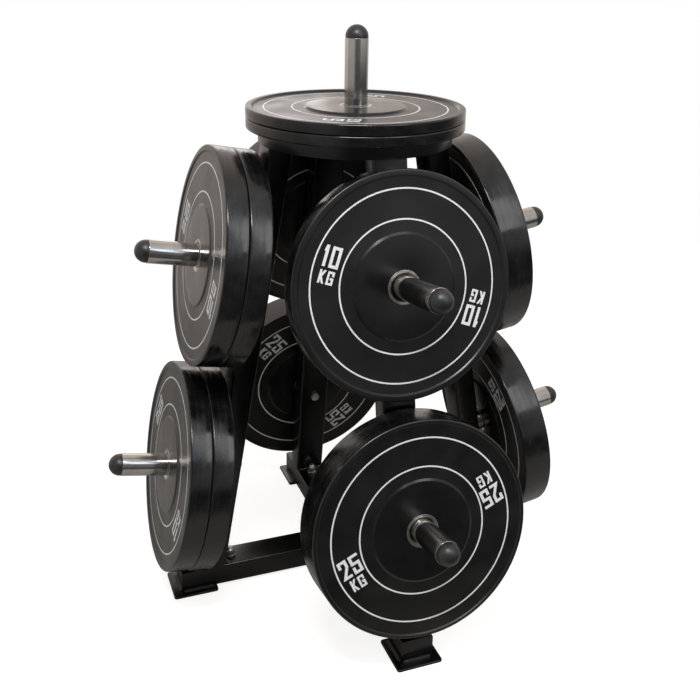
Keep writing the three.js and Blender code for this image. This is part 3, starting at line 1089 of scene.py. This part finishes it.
def floor(settings):
    """A sheet of pale paper that keeps its shadow, lifted to white for the camera and a little in mirrors."""
    material, tree, surface = empty_material("studio_paper")
    rays = add_node(tree, "ShaderNodeLightPath").outputs
    # The pulp is a little darker in clouds some 300 mm across.
    clouds = pattern(tree, 300 * MM)
    darker = [0.98 * c for c in settings.paper]
    diffuse = add_node(tree, "ShaderNodeBsdfDiffuse", {
        "Color": two_colours(tree, clouds, settings.paper, darker)})
    faint = add_node(tree, "ShaderNodeMath", {0: mirrored(tree, rays), 1: settings.faint_glow},
                     operation="MULTIPLY").outputs[0]
    strength = add_node(tree, "ShaderNodeMath", {0: rays["Is Camera Ray"], 1: settings.glow, 2: faint},
                        operation="MULTIPLY_ADD").outputs[0]
    glow = add_node(tree, "ShaderNodeEmission", {"Color": (1, 1, 1, 1), "Strength": strength})
    both = add_node(tree, "ShaderNodeAddShader", {0: diffuse.outputs[0], 1: glow.outputs[0]})
    tree.links.new(both.outputs[0], surface)
    half, front, back = settings.floor_width / 2, -settings.floor_front, settings.floor_back
    mesh = bpy.data.meshes.new("floor")
    mesh.from_pydata([(-half, front, 0), (half, front, 0), (half, back, 0), (-half, back, 0)], [], [range(4)])
    mesh.materials.append(material)
    sheet = add_object("floor", mesh)
    # The paper lies just under the feet, so that the two never share a plane.
    sheet.location.z = -0.2 * MM


def softbox(name, place, target, width, height, tint, power):
    """A rectangular soft light aimed at a point."""
    light = bpy.data.lights.new(name, "AREA")
    light.shape = "RECTANGLE"
    light.size, light.size_y = width, height
    light.energy = power
    light.color = linear(tint)
    lamp = add_object(name, light)
    lamp.location = place
    lamp.rotation_euler = (Vector(target) - Vector(place)).to_track_quat("-Z", "Y").to_euler()


def camera(settings):
    """The camera at the photograph's angle."""
    a, e, r = settings.yaw, settings.pitch, settings.roll
    back = Vector((math.sin(a) * math.cos(e), -math.cos(a) * math.cos(e), math.sin(e)))
    level = Vector((math.cos(a), math.sin(a), 0))
    rise = back.cross(level)
    right = math.cos(r) * level + math.sin(r) * rise
    up = -math.sin(r) * level + math.cos(r) * rise
    data = bpy.data.cameras.new("camera")
    data.sensor_width = 36
    data.lens = settings.focal_length
    data.shift_x, data.shift_y = settings.shift
    data.clip_start, data.clip_end = 0.05, 200
    made = add_object("camera", data)
    made.matrix_world = place_of(right, up, back, settings.camera_place)
    bpy.context.scene.camera = made


# Operators

class PLATETREE_OT_frame(bpy.types.Operator):
    """Make the legs, beams, foot plates, cap and welds"""
    bl_idname = "plate_tree.make_frame"
    bl_label = "Make frame"

    def execute(self, context):
        sizes = context.scene.plate_tree_frame
        for side in SIDES:
            upright(side)
            closed_bar(f"foot_{side}", f"foot_plate_{side}", side_place(side),
                       sizes.foot_corner, sizes.foot_edge, lies=False)
        beams = {"cross_beam": AT_ORIGIN, "beam_front": side_place("front"), "beam_rear": side_place("rear")}
        for name, place in beams.items():
            closed_bar(name, f"base_{name}", place, sizes.tube_corner, sizes.beam_edge, lies=True)
        cap_pan()
        welds()
        return {"FINISHED"}


class PLATETREE_OT_fasteners(bpy.types.Operator):
    """Make the base bolts with their washers and nuts"""
    bl_idname = "plate_tree.make_fasteners"
    bl_label = "Make base fasteners"

    def execute(self, context):
        for side in SIDES:
            base_fastener(side)
        return {"FINISHED"}


class PLATETREE_OT_pegs(bpy.types.Operator):
    """Make the chrome pegs with their bolts and domes"""
    bl_idname = "plate_tree.make_pegs"
    bl_label = "Make pegs"

    def execute(self, context):
        for peg in PEGS:
            axis = peg_axis(peg)
            sleeve(f"sleeve_{peg}", f"peg_{peg}", axis)
            peg_bolt(f"peg_bolt_{peg}", f"peg_{peg}", axis)
            dome(f"dome_{peg}", f"peg_cap_{peg}", axis)
        return {"FINISHED"}


class PLATETREE_OT_plates(bpy.types.Operator):
    """Make the bumper plates with their steel inserts and prints"""
    bl_idname = "plate_tree.make_plates"
    bl_label = "Make plates"

    def execute(self, context):
        for peg, bodies in PEGS.items():
            for body in bodies:
                name = body.removeprefix("plate_")
                place, thickness = seat_of(body, peg_axis(peg))
                disc(f"disc_{name}", body, place, thickness)
                insert(f"insert_{name}", body, f"bore_{name}", place, thickness)
                prints(f"print_{name}", body, place, thickness, *PRINTS[name])
        return {"FINISHED"}


class PLATETREE_OT_stage(bpy.types.Operator):
    """Make the floor, the soft lights, the backdrop and the camera"""
    bl_idname = "plate_tree.make_stage"
    bl_label = "Make stage"

    def execute(self, context):
        settings = context.scene.plate_tree_stage
        context.scene.view_settings.view_transform = "Standard"
        studio_world(settings)
        floor(settings)
        camera(settings)
        for name, light in LIGHTS.items():
            softbox(f"{name}_light", *light, getattr(settings, name))
        return {"FINISHED"}


class PLATETREE_PT_panel(bpy.types.Panel):
    """Lists the sizes, the colours and the steps that make the plate tree"""
    bl_idname = "PLATETREE_PT_panel"
    bl_label = "Plate tree"
    bl_space_type = "VIEW_3D"
    bl_region_type = "UI"
    bl_category = "Plate tree"

    def draw(self, context):
        for operator in OPERATORS:
            self.layout.operator(operator.bl_idname)
        for name, group in GROUPS.items():
            box = self.layout.box()
            box.label(text=group.__doc__)
            for prop in group.__annotations__:
                box.prop(getattr(context.scene, name), prop)


GROUPS = {
    "plate_tree_plates": PlateSizes,
    "plate_tree_pegs": PegSizes,
    "plate_tree_frame": FrameSizes,
    "plate_tree_colours": Colours,
    "plate_tree_stage": StageSettings,
}
OPERATORS = [
    PLATETREE_OT_frame, PLATETREE_OT_fasteners, PLATETREE_OT_pegs, PLATETREE_OT_plates, PLATETREE_OT_stage,
]


def register():
    for group in GROUPS.values():
        bpy.utils.register_class(group)
    for name, group in GROUPS.items():
        setattr(bpy.types.Scene, name, PointerProperty(type=group))
    for operator in OPERATORS:
        bpy.utils.register_class(operator)
    bpy.utils.register_class(PLATETREE_PT_panel)


def unregister():
    bpy.utils.unregister_class(PLATETREE_PT_panel)
    for operator in reversed(OPERATORS):
        bpy.utils.unregister_class(operator)
    for name, group in GROUPS.items():
        delattr(bpy.types.Scene, name)
        bpy.utils.unregister_class(group)


def main():
    register()
    bpy.ops.plate_tree.make_frame()
    bpy.ops.plate_tree.make_fasteners()
    bpy.ops.plate_tree.make_pegs()
    bpy.ops.plate_tree.make_plates()
    bpy.ops.plate_tree.make_stage()


if __name__ == "__main__":
    main()
